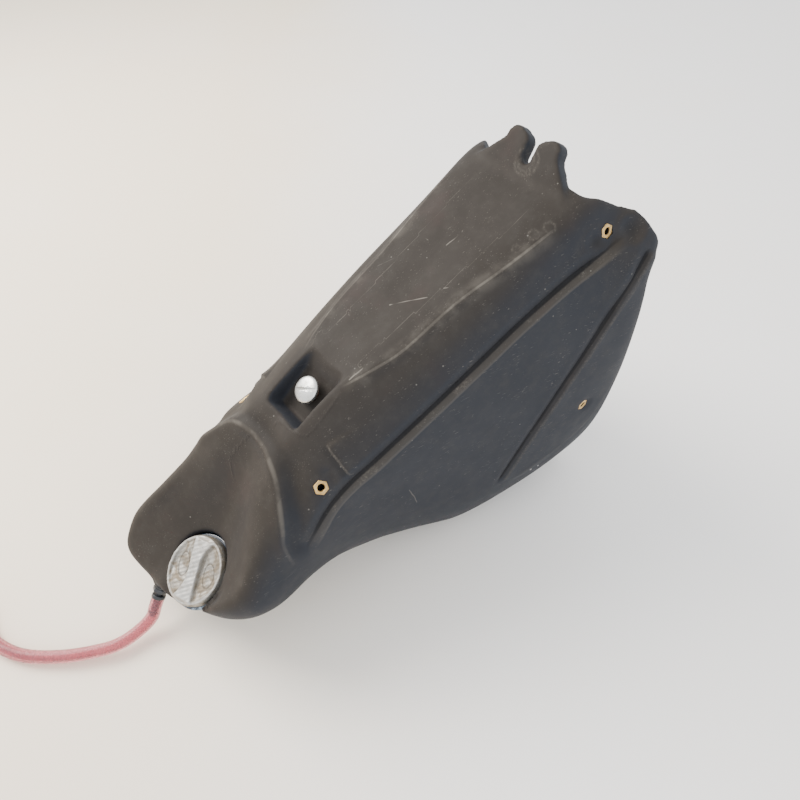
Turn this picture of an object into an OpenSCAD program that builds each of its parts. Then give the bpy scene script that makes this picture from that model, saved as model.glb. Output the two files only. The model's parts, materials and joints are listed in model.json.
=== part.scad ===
/* [Rest pose] */
// Angle that the nose points down at when the tank rests on its lobes, degrees
nose_down = 30; // [29:1:31]
// Height of the cap's top above the floor at rest
cap_height = 99; // [97:1:100]

/* [Shell] */
// Factor on every width of the shell
width_factor = 1; // [0.85:0.01:1.15]
// Wall thickness of the moulding
wall = 5; // [3.5:0.5:6]
// Slot width in the tail tab
slot_w = 9; // [6:0.5:14]
// Sideways place of each horn of the tail tab
horn_y = 20; // [18:1:26]
// How far the nose's tip swings to the right of the filler
nose_lean = 50; // [40:1:52]

/* [Filler] */
// Diameter of the cast cap
cap_d = 67; // [60:1:70]
// Thickness of the cap's disc
cap_t = 10; // [8:0.5:12]
// Diameter of the thread in the neck
thread_d = 50; // [42:1:54]
// Outer diameter of the neck ring
ring_d = 73; // [70:1:80]

/* [Seat screw] */
// Diameter of the slotted head
head_d = 25; // [20:1:28]
// Diameter of the screw's shank
shank_d = 8; // [6:1:10]
// Width of the pocket round the screw
pocket_w = 46; // [40:1:50]

/* [Inserts] */
// Width across the flats of a brass insert
insert_af = 12; // [10:0.5:14]
// Thread diameter of the inserts
insert_thread = 6; // [5:1:6]
// Length of an insert
insert_l = 12; // [10:1:14]

/* [Fuel tap] */
// Length of the tap's lever arm from its pivot
lever_l = 20; // [16:1:22]
// Length of the strainer above the tap's flange
strainer_l = 58; // [40:1:80]

/* [Vent] */
// Outer diameter of the vent hose
hose_d = 13; // [11:0.5:14]

/* [Hidden] */
$fn = 64;
eps = 0.01;

// Fits
run_gap = 0.08;

// Each station of the shell: its place along the tank, forward of the cap, then nine
// points of its left half from the middle of the top, down the flank, under the lobe
// and up to the roof of the frame tunnel. Every point is [left, up] from the cap's top.
STATIONS = [
    [53, [0, -24], [11, -24], [19, -26], [24, -32], [19, -39], [12, -42], [8, -43], [4, -43], [0, -43]],
    [48, [0, -18], [23, -15], [37, -16], [44, -25], [37, -37], [25, -45], [14, -48], [7, -48], [0, -48]],
    [36, [0, -14], [36, -9], [54, -8], [62, -18], [55, -34], [38, -47], [22, -53], [10, -54], [0, -54]],
    [10, [0, -12], [48, -3], [72, 3], [84, -10], [78, -32], [56, -50], [36, -60], [18, -64], [0, -64]],
    [-30, [0, -10], [53, 6], [76, 14], [91, -4], [87, -30], [72, -58], [46, -86], [24, -92], [0, -90]],
    [-70, [0, 8], [46, 24], [70, 24], [86, -2], [82, -42], [68, -78], [48, -104], [26, -108], [0, -104]],
    [-110, [0, 32], [40, 43], [70, 33], [84, -4], [76, -70], [66, -110], [50, -150], [30, -112], [0, -92]],
    [-150, [0, 53], [34, 54], [70, 31], [79, -8], [80, -110], [64, -180], [46, -202], [32, -112], [0, -80]],
    [-200, [0, 59], [34, 58], [78, 18], [88, -60], [96, -150], [80, -220], [56, -231], [33, -110], [0, -75]],
    [-260, [0, 56], [42, 53], [82, 14], [100, -90], [108, -185], [88, -254], [60, -265], [34, -108], [0, -72]],
    [-320, [0, 50], [50, 47], [85, 9], [112, -110], [119, -205], [96, -262], [64, -270], [34, -106], [0, -70]],
    [-380, [0, 45], [55, 42], [87, 4], [119, -105], [126, -203], [104, -246], [66, -252], [34, -104], [0, -68]],
    [-430, [0, 41], [60, 38], [87, 2], [121, -80], [127, -155], [106, -192], [66, -196], [34, -100], [0, -62]],
    [-470, [0, 38], [63, 35], [88, 4], [117, -36], [125, -90], [106, -122], [68, -126], [34, -84], [0, -46]],
    [-495, [0, 34], [62, 31], [87, 3], [110, -22], [120, -46], [104, -66], [70, -68], [34, -48], [0, -20]],
    [-518, [0, 28], [58, 25], [86, 2], [108, -17], [114, -34], [100, -48], [70, -50], [34, -34], [0, -10]]
];
OUTER_X = concat(
    [53, 51, 48, 43, 36, 24],
    [for (x = [10 : -20 : -490]) x],
    [-504, -518]
);
INNER_X = concat([46, 40, 28], [for (x = [8 : -24 : -472]) x], [-488, -504]);

// Straight-line and smooth blends between stations and between points of a ring
function station_index(x, i = 0) =
    i >= len(STATIONS) - 2 || x >= STATIONS[i + 1][0] ? i : station_index(x, i + 1);
function slope(k, j) =
    let (a = max(k - 1, 0), b = min(k + 1, len(STATIONS) - 1))
    (STATIONS[b][j] - STATIONS[a][j]) / (STATIONS[b][0] - STATIONS[a][0]);
function hermite(p, q, mp, mq, t) =
    p * (2 * t * t * t - 3 * t * t + 1) + mp * (t * t * t - 2 * t * t + t)
    + q * (3 * t * t - 2 * t * t * t) + mq * (t * t * t - t * t);
function control(x, j) =
    let (
        i = station_index(x),
        x0 = STATIONS[i][0],
        span = STATIONS[i + 1][0] - x0,
        t = (x - x0) / span
    )
    hermite(STATIONS[i][j], STATIONS[i + 1][j], slope(i, j) * span, slope(i + 1, j) * span, t);
function flip(p) = [-p[0], p[1]];
function half_ring(c, steps) = [
    for (j = [0 : 7], s = [0 : steps - 1])
        let (
            before = j == 0 ? flip(c[1]) : c[j - 1],
            after = j == 7 ? flip(c[7]) : c[j + 2],
            m0 = (c[j + 1] - before) / 2,
            m1 = (after - c[j]) / 2
        )
        hermite(c[j], c[j + 1], m0, m1, s / steps)
];
function full_ring(half, last) = concat(
    half, [last], [for (i = [len(half) - 1 : -1 : 1]) flip(half[i])]
);
function section(x, steps) =
    let (c = [for (j = [1 : 9]) control(x, j)])
    [for (p = full_ring(half_ring(c, steps), c[8])) [p[0] * width_factor + lean(x), p[1]]];

// The middle of the shell leaves the filler's plane and swings right toward the nose,
// and the nose's front is slanted, so that its right side reaches further forward
body_shift = 8;
nose_slant = 0.18;
function clamp(t) = min(max(t, 0), 1);
function lean(x) = -body_shift * clamp((x + 190) / 110) - nose_lean * pow(clamp((x + 45) / 103), 1.8);
function slant(x) = nose_slant * clamp((x + 30) / 80);

// A closed section moved inward by d along its own normals
function unit(v) = v / max(norm(v), 0.001);
function inset(ring, d) = [
    for (i = [0 : len(ring) - 1])
        let (
            a = ring[(i + len(ring) - 1) % len(ring)],
            b = ring[(i + 1) % len(ring)],
            t = unit(b - a)
        )
        ring[i] + d * [t[1], -t[0]]
];
function placed(ring, x) = [for (p = ring) [x - slant(x) * (p[0] - vent_at[1]), p[0], p[1]]];

// The solid whose rings are given, closed by a flat face at each end
module loft(rings) {
    n = len(rings[0]);
    last = len(rings) - 1;
    points = [for (r = rings, p = r) p];
    sides = [
        for (k = [0 : last - 1], i = [0 : n - 1])
            let (a = k * n + i, b = k * n + (i + 1) % n)
            each [[a, b + n, b], [a, a + n, b + n]]
    ];
    front = [[for (i = [0 : n - 1]) i]];
    back = [[for (i = [n - 1 : -1 : 0]) last * n + i]];
    polyhedron(points = points, faces = concat(sides, front, back), convexity = 8);
}

// Tank frame to rest frame: +X toward the nose, +Z up, floor at zero
rest_shift = 209.1;
module rest() {
    translate([rest_shift, 0, cap_height]) rotate([0, nose_down, 0]) children();
}

// Filler neck, all heights from the top of the cap
gasket_t = 3;
ring_top = -cap_t - gasket_t;
ring_h = 12;
neck_floor = ring_top - ring_h;
plug_end = neck_floor - 8;
cap_angle = 24;
grip_w = 12;
dish_y = 18;
dish_r = 12;
neck_block_d = ring_d + 12;

// Pocket of the seat screw
screw_at = [-207, 0, 46];
pocket_tilt = 11;
pocket_front = 27;
spacer_h = 7;
head_h = 6;
insert_depth = 18;
seat_insert_r = 6;
slot_angle = 32;
module at_screw() {
    translate(screw_at) rotate([0, pocket_tilt, 0]) children();
}

// Brass inserts: place of the outer face and the direction it faces, left side
FRONT_SPOT = [[-154, 66, 34], [-0.17, 0.72, 0.67]];
REAR_SPOT = [[-483, 87, 4], [-0.07, 0.95, 0.3]];
LOWER_SPOT = [[-379, 124, -149], [0, 1, 0]];
spot_r = 12;
module aim(spot, side) {
    p = spot[0];
    n = spot[1];
    mirror([0, side < 0 ? 1 : 0, 0])
        translate([p[0], p[1] * width_factor, p[2]])
            rotate([0, 0, atan2(n[1], n[0])])
                rotate([0, acos(n[2] / norm(n)), 0])
                    children();
}
module each_spot() {
    for (side = [1, -1], spot = [FRONT_SPOT, REAR_SPOT, LOWER_SPOT]) aim(spot, side) children();
}
hex_r = insert_af / 2 / cos(30);

// Vent fitting
vent_at = [53, -36, -31];
vent_turn = 18;
vent_tilt = 105;
module at_vent() {
    translate(vent_at) rotate([0, vent_tilt, vent_turn]) children();
}
vent_r = 4;
vent_bore_r = 2;
seal_t = 2;
nut_h = 5;
collar_at = 10;
collar_h = 4;
barb_end = 34;

// Fuel tap, hung from a flat pad under the left lobe
tap_x = -350;
tap_y = 76;
pad_z = -265;
pad_r = 25;
tap_hole_r = 9;
flange_t = 5;
flange_screw_x = 17;
tap_seal_t = 2;
valve_drop = 20;
valve_r = 10;
valve_face = 13;
packing_t = 3;
washer_t = 1;
plate_t = 1.5;
spigot_r = 3.6;
spigot_shoulder = 12;
spigot_end = 30;
strainer_r = 6.5;
flange_hole_r = 2.5;
lever_hub_t = 4;
rotor_t = 2;
packing_at = valve_face - packing_t - rotor_t - washer_t;
module at_tap() {
    translate([tap_x, tap_y * width_factor, pad_z]) mirror([0, 0, 1]) children();
}

module outer_form() {
    loft([for (x = OUTER_X) placed(section(x, 3), x)]);
}
module inner_form() {
    loft([for (x = INNER_X) placed(inset(section(x, 2), wall), x)]);
}

// The bay between the two corners of the tail, under the tab
module tail_bay(grow) {
    translate([0, 0, -150]) linear_extrude(260)
        polygon([
            [-540, 108 + grow], [-487 + grow, 60 + grow], [-478 + grow, -46],
            [-500 + grow, -70], [-508 + grow, -140], [-560, -140]
        ]);
}

tab_rake = 30;
tab_t = 16;
horn_reach = 36;
horn_r = 9;
// The tail tab: a raked plate with two horns, cut by the open slot
module tail_tab() {
    root = [-466, 0, 36];
    translate(root) rotate([0, tab_rake, 0]) mirror([1, 0, 0])
        translate([0, 0, -tab_t]) linear_extrude(tab_t) tab_outline();
}
module tab_outline() {
    difference() {
        union() {
            polygon([
                [-14, -58], [8, -54], [24, -39], [horn_reach, -horn_y - horn_r + 1],
                [horn_reach, horn_y + horn_r - 1], [24, 39], [8, 54], [-14, 58]
            ]);
            for (side = [-1, 1]) translate([horn_reach, side * horn_y]) circle(horn_r);
        }
        translate([22, -slot_w / 2]) square([40, slot_w]);
        translate([22, 0]) circle(slot_w / 2);
        translate([horn_reach + 12, 0]) circle(11);
    }
}

module pocket_space() {
    translate([0, pocket_w / 2, 0]) rotate([90, 0, 0]) linear_extrude(pocket_w)
        polygon([[pocket_front, 0], [pocket_front + 6, 40], [-70, 40], [-46, 12], [-12, 0]]);
}

module tank_shell() {
    color("#26272b") difference() {
        rest() shell_body();
        translate([-500, -300, -100]) cube([1000, 600, 100]);
    }
}
foot_t = 6;
// Everything lower than a height above the floor, seen from the tank's own frame
module below_rest(height) {
    rotate([0, -nose_down, 0]) translate([-700, -300, -cap_height - 200]) cube([1000, 600, 200 + height]);
}
module shell_body() {
    difference() {
        union() {
            difference() {
                outer_form();
                tail_bay(0);
            }
            tail_tab();
            translate([0, 0, neck_floor - 14]) cylinder(d = ring_d - 2, h = 14);
            at_vent() translate([0, 0, -16]) cylinder(r = 9.5, h = 16);
            at_tap() translate([0, 0, -8]) cylinder(r = pad_r, h = 8);
        }
        difference() {
            inner_form();
            tail_bay(wall);
            below_rest(foot_t);
            translate([0, 0, neck_floor - wall]) cylinder(d = neck_block_d, h = 60);
            at_screw() translate([-60, -pocket_w / 2 - wall, -wall]) cube([64 + pocket_front, pocket_w + 2 * wall, 40]);
            at_screw() translate([0, 0, -insert_depth - 4]) cylinder(r = seat_insert_r + wall, h = insert_depth + 8);
            each_spot() translate([0, 0, -insert_l - 4]) cylinder(r = seat_insert_r + wall, h = insert_l + 6);
            at_vent() translate([0, 0, -20]) cylinder(r = 9, h = 30);
            at_tap() translate([0, 0, -12]) cylinder(r = pad_r, h = 30);
        }
        translate([0, 0, neck_floor]) cylinder(d = ring_d + 2, h = 60);
        translate([0, 0, neck_floor - 12]) cylinder(d = thread_d + 2, h = 60);
        at_screw() pocket_space();
        at_screw() translate([0, 0, -insert_depth]) cylinder(r = seat_insert_r, h = insert_depth + 1);
        each_spot() cylinder(r = spot_r, h = 20);
        each_spot() translate([0, 0, -insert_l]) cylinder(r = hex_r, h = insert_l + 1, $fn = 6);
        at_vent() cylinder(r = 11, h = 20);
        at_vent() translate([0, 0, -30]) cylinder(r = vent_r, h = 31);
        at_tap() cylinder(r = pad_r + 3, h = 30);
        at_tap() translate([0, 0, -30]) cylinder(r = tap_hole_r, h = 31);
        at_tap() each_flange_screw() translate([0, 0, -9]) cylinder(r = flange_hole_r, h = 10);
    }
}

// The two screws that hold the plug to the cap
cap_screw_r = 1.2;
module each_cap_screw() {
    for (a = [60, 120]) rotate([0, 0, a]) translate([8, 0, 0]) children();
}

module neck_ring() {
    color("#1b2430") rest() translate([0, 0, neck_floor]) rotate_extrude()
        polygon([
            [thread_d / 2, 0], [ring_d / 2, 0], [ring_d / 2, ring_h - 2],
            [ring_d / 2 - 2, ring_h], [thread_d / 2, ring_h]
        ]);
}
module cap_gasket() {
    color("#151515") rest() translate([0, 0, ring_top]) difference() {
        cylinder(d = cap_d - 5, h = gasket_t);
        translate([0, 0, -1]) cylinder(d = thread_d, h = gasket_t + 2);
    }
}
module cap_body() {
    color("#9d9b96") rest() rotate([0, 0, cap_angle]) translate([0, 0, -cap_t]) {
        difference() {
            rotate_extrude() polygon([
                [0, 0], [cap_d / 2 - 1, 0], [cap_d / 2, 1], [cap_d / 2, cap_t - 4],
                [cap_d / 2 - 1.5, cap_t - 2.5], [cap_d / 2 - 4, cap_t - 2], [0, cap_t - 2]
            ]);
            for (side = [-1, 1]) translate([0, side * dish_y, cap_t - 4]) intersection() {
                cylinder(r = dish_r, h = 8);
                translate([0, side * 4, 0]) cylinder(r = dish_r, h = 8);
            }
            each_cap_screw() translate([0, 0, -1]) cylinder(r = cap_screw_r, h = 5);
        }
        intersection() {
            translate([-cap_d / 2, -grip_w / 2, cap_t - 2 - eps]) cube([cap_d, grip_w, 2 + eps]);
            cylinder(d = cap_d - 6, h = cap_t);
        }
    }
}
module cap_plug() {
    color("#3b3b3b") rest() rotate([0, 0, cap_angle]) translate([0, 0, plug_end]) difference() {
        cylinder(r = thread_d / 2 - run_gap, h = -cap_t - plug_end);
        translate([0, 0, -1]) cylinder(r = thread_d / 2 - 5, h = -cap_t - plug_end - 4);
        each_cap_screw() cylinder(r = cap_screw_r, h = 40);
    }
}
module cap_screws() {
    color("silver") rest() rotate([0, 0, cap_angle]) each_cap_screw() translate([0, 0, -cap_t - 5]) {
        cylinder(r = cap_screw_r, h = 8);
        translate([0, 0, -2]) cylinder(r = 2 * cap_screw_r, h = 2);
    }
}

module collar_screw() {
    color("#b9b9b9") rest() at_screw() {
        difference() {
            translate([0, 0, spacer_h]) rotate_extrude() polygon([
                [0, 0], [head_d / 2 - 1, 0], [head_d / 2, 1], [head_d / 2, head_h - 3],
                [head_d / 2 - 2.5, head_h - 0.8], [0, head_h]
            ]);
            rotate([0, 0, slot_angle])
                translate([-1.3, -head_d, spacer_h + head_h - 2.5]) cube([2.6, 2 * head_d, 5]);
        }
        translate([0, 0, -insert_depth + 4]) cylinder(d = shank_d - 2 * run_gap, h = insert_depth - 4 + spacer_h + 1);
    }
}
module collar_spacer() {
    color("#7a4a32") rest() at_screw() difference() {
        cylinder(d = shank_d + 6, h = spacer_h);
        translate([0, 0, -1]) cylinder(d = shank_d + 0.4, h = spacer_h + 2);
    }
}
module collar_insert() {
    color("#b08a3e") rest() at_screw() translate([0, 0, -insert_depth]) difference() {
        cylinder(r = seat_insert_r, h = insert_depth);
        translate([0, 0, 2]) cylinder(d = shank_d, h = insert_depth);
    }
}

module brass_insert(spot, side) {
    color("#b08a3e") rest() aim(spot, side) translate([0, 0, -insert_l]) difference() {
        cylinder(r = hex_r, h = insert_l, $fn = 6);
        translate([0, 0, 2]) cylinder(d = insert_thread, h = insert_l);
    }
}
module front_insert_left() { brass_insert(FRONT_SPOT, 1); }
module front_insert_right() { brass_insert(FRONT_SPOT, -1); }
module rear_insert_left() { brass_insert(REAR_SPOT, 1); }
module rear_insert_right() { brass_insert(REAR_SPOT, -1); }
module lower_insert_left() { brass_insert(LOWER_SPOT, 1); }
module lower_insert_right() { brass_insert(LOWER_SPOT, -1); }

module vent_seal() {
    color("#101010") rest() at_vent() difference() {
        cylinder(r = 7.5, h = seal_t);
        translate([0, 0, -1]) cylinder(r = vent_r, h = seal_t + 2);
    }
}
module vent_nut() {
    color("#15171b") rest() at_vent() translate([0, 0, seal_t]) difference() {
        cylinder(r = 8.5, h = nut_h);
        translate([0, 0, -1]) cylinder(r = vent_r, h = nut_h + 2);
    }
}
module vent_barb() {
    color("#15171b") rest() at_vent() difference() {
        union() {
            translate([0, 0, -12]) cylinder(r = vent_r, h = 12 + barb_end);
            translate([0, 0, collar_at]) cylinder(r = 7, h = collar_h);
        }
        translate([0, 0, -13]) cylinder(r = vent_bore_r, h = barb_end + 20);
    }
}

// Vent hose: a swept tube from the vent's collar, along points in the rest frame
function rest_point(p) = [
    rest_shift + p[0] * cos(nose_down) + p[2] * sin(nose_down),
    p[1],
    cap_height - p[0] * sin(nose_down) + p[2] * cos(nose_down)
];
vent_axis = [sin(vent_tilt) * cos(vent_turn), sin(vent_tilt) * sin(vent_turn), cos(vent_tilt)];
function vent_point(d) = rest_point(vent_at + d * vent_axis);
HOSE_ROUTE = [
    vent_point(collar_at + collar_h),
    vent_point(barb_end - 10),
    vent_point(barb_end + 2),
    [278, -24, 15],
    [298, -24, 13],
    [319, -31, 12],
    [354, -52, 10],
    [386, -82, 8],
    [404, -120, 8],
    [402, -160, 8]
];
function along(t) =
    let (
        i = min(floor(t), len(HOSE_ROUTE) - 2),
        a = HOSE_ROUTE[max(i - 1, 0)],
        b = HOSE_ROUTE[i],
        c = HOSE_ROUTE[i + 1],
        d = HOSE_ROUTE[min(i + 2, len(HOSE_ROUTE) - 1)]
    )
    hermite(b, c, (c - a) / 2, (d - b) / 2, t - i);
hose_rings = 36;
hose_sides = 10;
module vent_hose() {
    span = len(HOSE_ROUTE) - 1;
    rings = [
        for (k = [0 : hose_rings - 1])
            let (
                t = span * k / (hose_rings - 1),
                p = along(t),
                ahead = unit(along(min(t + 0.05, span)) - along(max(t - 0.05, 0))),
                side = unit(cross(ahead, [0, 0, 1])),
                up = cross(side, ahead)
            )
            [
                for (i = [0 : hose_sides - 1])
                    p + hose_d / 2 * (cos(i * 360 / hose_sides) * side + sin(i * 360 / hose_sides) * up)
            ]
    ];
    color("#c79a9a") loft(rings);
}

module tap_seal() {
    color("#101010") rest() at_tap() difference() {
        cylinder(r = 14, h = tap_seal_t);
        translate([0, 0, -1]) cylinder(r = tap_hole_r, h = tap_seal_t + 2);
        each_flange_screw() translate([0, 0, -1]) cylinder(r = flange_hole_r, h = 6);
    }
}
module each_flange_screw() {
    for (side = [-1, 1]) translate([side * flange_screw_x, 0, 0]) children();
}
// The valve's own frame: +Z along its spindle, toward the tank's left
module at_valve() {
    at_tap() translate([0, 0, valve_drop]) rotate([-90, 0, 0]) children();
}
// The outlet's own frame: +Z out along it, toward the tail
module at_spigot() {
    at_tap() translate([0, 0, valve_drop]) rotate([0, -90, 0]) children();
}
module tap_body() {
    color("#8f9296") rest() {
        difference() {
            union() {
                at_tap() translate([0, 0, tap_seal_t]) linear_extrude(flange_t) tap_flange();
                at_tap() translate([0, 0, tap_seal_t + 1]) cylinder(r = 9, h = valve_drop - tap_seal_t - 1);
                at_valve() translate([0, 0, -valve_r]) cylinder(r = valve_r, h = valve_r + valve_face);
                at_spigot() cylinder(r = spigot_r, h = spigot_end);
                at_spigot() cylinder(r = spigot_r + 2, h = spigot_shoulder);
            }
            at_valve() translate([0, 0, packing_at]) cylinder(r = 8, h = 12);
            at_tap() each_flange_screw() cylinder(r = flange_hole_r, h = 20);
            at_tap() translate([0, 0, -1]) cylinder(r = strainer_r, h = tap_seal_t + 5);
            at_tap() translate([0, 0, 5]) cylinder(r = 3, h = valve_drop - 8);
            at_spigot() translate([0, 0, spigot_shoulder]) cylinder(r = 2.3, h = spigot_end);
        }
    }
}
module tap_flange() {
    hull() {
        circle(r = 14);
        for (side = [-1, 1]) translate([side * flange_screw_x, 0]) circle(r = 6);
    }
}
module tap_flange_screws() {
    color("silver") rest() at_tap() each_flange_screw() {
        translate([0, 0, -9]) cylinder(r = flange_hole_r - 0.05, h = 9 + tap_seal_t + flange_t);
        translate([0, 0, tap_seal_t + flange_t]) cylinder(r = 4.2, h = 3);
    }
}
module tap_strainer() {
    color("#d8d4c0") rest() at_tap() difference() {
        union() {
            mirror([0, 0, 1]) cylinder(r = strainer_r, h = strainer_l);
            cylinder(r = strainer_r, h = tap_seal_t + 4);
        }
        translate([0, 0, 2 - strainer_l]) cylinder(r = strainer_r - 1.5, h = strainer_l + 20);
    }
}
module tap_packing() {
    color("#202020") rest() at_valve() translate([0, 0, packing_at]) difference() {
        cylinder(r = 8, h = packing_t);
        for (a = [0 : 120 : 240]) rotate([0, 0, a]) translate([5, 0, -1]) cylinder(r = 1.3, h = packing_t + 2);
    }
}
module tap_wave_washer() {
    color("silver") rest() at_valve() translate([0, 0, valve_face - washer_t]) difference() {
        cylinder(r = 7, h = washer_t);
        translate([0, 0, -1]) cylinder(r = 4.5, h = washer_t + 2);
    }
}
module tap_plate() {
    color("#8f9296") rest() at_valve() translate([0, 0, valve_face]) difference() {
        cylinder(r = valve_r, h = plate_t);
        translate([0, 0, -1]) cylinder(r = 3.5, h = plate_t + 2);
        each_plate_screw() translate([0, 0, -1]) cylinder(r = 1, h = plate_t + 2);
    }
}
module each_plate_screw() {
    for (a = [90, 270]) rotate([0, 0, a]) translate([8.9, 0, 0]) children();
}
module tap_plate_screws() {
    color("silver") rest() at_valve() each_plate_screw() {
        translate([0, 0, valve_face]) cylinder(r = 1, h = plate_t);
        translate([0, 0, valve_face + plate_t]) cylinder(r = 1.1, h = 0.6);
    }
}
module tap_lever() {
    color("#b5b8bb") rest() at_valve() {
        translate([0, 0, packing_at + packing_t]) cylinder(r = 7.9, h = rotor_t);
        translate([0, 0, valve_face - 1.5]) cylinder(r = 3.5 - run_gap, h = plate_t + 3);
        translate([0, 0, valve_face + plate_t + 1]) linear_extrude(lever_hub_t) hull() {
            circle(r = 6);
            translate([-lever_l, 0]) circle(r = 3.5);
        }
    }
}

tank_shell();
neck_ring();
cap_body();
cap_plug();
cap_gasket();
cap_screws();
collar_screw();
collar_spacer();
collar_insert();
front_insert_left();
front_insert_right();
rear_insert_left();
rear_insert_right();
lower_insert_left();
lower_insert_right();
vent_seal();
vent_nut();
vent_barb();
vent_hose();
tap_body();
tap_seal();
tap_flange_screws();
tap_strainer();
tap_packing();
tap_lever();
tap_wave_washer();
tap_plate();
tap_plate_screws();
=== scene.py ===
import json
import math

import bmesh
import bpy
import numpy as np
from mathutils import Matrix, Vector


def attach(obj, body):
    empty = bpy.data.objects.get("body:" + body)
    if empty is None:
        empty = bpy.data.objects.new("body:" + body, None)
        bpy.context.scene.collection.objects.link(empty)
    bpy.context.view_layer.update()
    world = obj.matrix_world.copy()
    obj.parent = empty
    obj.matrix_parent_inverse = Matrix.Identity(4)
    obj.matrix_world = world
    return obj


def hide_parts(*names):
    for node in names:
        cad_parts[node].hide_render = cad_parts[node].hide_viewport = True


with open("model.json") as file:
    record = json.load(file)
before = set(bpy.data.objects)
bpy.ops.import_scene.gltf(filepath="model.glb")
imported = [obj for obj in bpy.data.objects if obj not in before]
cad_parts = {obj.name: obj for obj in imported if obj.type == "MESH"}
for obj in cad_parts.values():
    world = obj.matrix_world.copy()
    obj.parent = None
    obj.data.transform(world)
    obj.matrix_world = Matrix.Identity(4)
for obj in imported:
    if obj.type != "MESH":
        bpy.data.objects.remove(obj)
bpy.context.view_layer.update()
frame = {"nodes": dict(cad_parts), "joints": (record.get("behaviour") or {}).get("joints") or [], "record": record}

MM = 0.001
SIDES = 96
JOINTS = {j["name"]: j for j in frame["joints"]}
MOUNTS = {m["name"]: m for m in frame["record"]["mounts"]}


# ---- places
def place(origin, up, back_off=0.0):
    """A matrix from local millimetres to the row frame: local +Z is up, local +X is near the tank's own."""
    z = Vector(up).normalized()
    x = (FORWARD - z * FORWARD.dot(z)).normalized()
    y = z.cross(x)
    turn = Matrix((x, y, z)).transposed().to_4x4()
    return Matrix.Translation(Vector(origin) - z * back_off * MM) @ turn @ Matrix.Scale(MM, 4)


def at_mount(name, back_off=0.0):
    m = MOUNTS[name]
    return place(m["pos_m"], m["axis"], back_off=back_off)


UP = Vector(JOINTS["cap_turn"]["axis"]).normalized()
FORWARD = Vector((UP.z, 0.0, -UP.x))
AT_TANK = place(JOINTS["cap_turn"]["pos_m"], UP)
TO_TANK = AT_TANK.inverted()
VIEW_RIGHT = Vector((-0.778, 0.628, 0)).normalized()
VIEW_BACK = Vector((0.4201, 0.5205, 0.743))
VIEW_FROM = Vector((10.6, 329.4, 533.8))  # the camera's place from the cap's top, in millimetres

CAP_ANGLE = math.radians(24)
NOSE_SIDE = (0.75, 0.66, 0.0)  # the side of the filler toward the nose's left, where the shell dips and the neck ring has its painted highlight
RING_HIGHLIGHT = (AT_TANK.to_3x3() @ Vector(NOSE_SIDE)).normalized()
NECK_FLOOR = -25.0
RING_D = 73.0
THREAD_D = 50.0
SCREW_SEAT = 7.0
THREAD_MIDDLE = 5.0
INSERT_LENGTH = 12.0
HEX_R = 6.0 / math.cos(math.radians(30))
VENT_AT = (53.0, -36.0, -31.0)
VENT_TURN = math.radians(18)
VENT_TILT = math.radians(105)
VENT_BOSS_R = 9.5
VENT_BORE_R = 4.0
TAP_AT = (-350.0, 76.0, -265.0)
TAP_PAD_R = 25.0
TAP_BORE_R = 9.0
SPOTS = [f"{part}_{side}" for part in ("front", "rear", "lower") for side in ("left", "right")]

AT_CAP = AT_TANK @ Matrix.Rotation(CAP_ANGLE, 4, "Z")
AT_SCREW = at_mount("seat_screw", back_off=SCREW_SEAT)
AT_SPOT = {s: at_mount(s + "_thread", back_off=-THREAD_MIDDLE) for s in SPOTS}
AT_VENT = (
    AT_TANK
    @ Matrix.Translation(VENT_AT)
    @ Matrix.Rotation(VENT_TURN, 4, "Z")
    @ Matrix.Rotation(VENT_TILT, 4, "Y")
)
AT_TAP = AT_TANK @ Matrix.Translation(TAP_AT) @ Matrix.Scale(-1, 4, (0, 0, 1))


# ---- mesh helpers
def put_in_scene(name, data):
    obj = bpy.data.objects.new(name, data)
    bpy.context.scene.collection.objects.link(obj)
    return obj


def add_object(name, verts, faces, matrix=AT_TANK):
    mesh = bpy.data.meshes.new(name)
    mesh.from_pydata([tuple(map(float, v)) for v in verts], [], faces)
    mesh.transform(matrix)
    if matrix.determinant() < 0:
        mesh.flip_normals()
    mesh.update()
    return put_in_scene(name, mesh)


def ring_faces(rows, count, closed=True):
    """Quads between rows of count points, with each row closed on itself."""
    last = count if closed else count - 1
    return [
        (k * count + i, k * count + (i + 1) % count, (k + 1) * count + (i + 1) % count, (k + 1) * count + i)
        for k in range(rows - 1)
        for i in range(last)
    ]


def loft(name, rings, matrix=AT_TANK):
    """A closed solid through rings that turn left about the way they run."""
    rings = np.asarray(rings, float)
    rows, count = rings.shape[:2]
    faces = ring_faces(rows, count)
    faces.append(tuple(reversed(range(count))))
    faces.append(tuple((rows - 1) * count + i for i in range(count)))
    return add_object(name, rings.reshape(-1, 3), faces, matrix)


def circle(radius, z, sides=SIDES):
    a = np.arange(sides) * 2 * math.pi / sides
    return np.c_[radius * np.cos(a), radius * np.sin(a), np.full(sides, z)]


def lathe(name, profile, matrix, sides=SIDES):
    """A solid turned about local Z from (radius, z) pairs that rise; it is closed by flat ends."""
    return loft(name, [circle(r, z, sides) for r, z in profile], matrix)


def rod(name, radius, low, high, matrix, sides=SIDES):
    return lathe(name, [(radius, low), (radius, high)], matrix, sides)


def tube_lathe(name, profile, matrix, sides=SIDES):
    """A turned ring: the profile is a closed loop of (radius, z) pairs, outside going up."""
    rows = [circle(r, z, sides) for r, z in profile] + [circle(*profile[0], sides)]
    obj = add_object(name, np.concatenate(rows), ring_faces(len(rows), sides), matrix)
    weld(obj)
    return obj


def prism(name, outline, low, high, matrix):
    """An outline of (x, y) pairs that turns left, drawn out from z = low to z = high."""
    rings = [[(x, y, z) for x, y in outline] for z in (low, high)]
    return loft(name, rings, matrix)


def weld(obj, gap=1e-7):
    bm = bmesh.new()
    bm.from_mesh(obj.data)
    bmesh.ops.remove_doubles(bm, verts=bm.verts, dist=gap)
    bmesh.ops.recalc_face_normals(bm, faces=bm.faces)
    bm.to_mesh(obj.data)
    bm.free()


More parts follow.
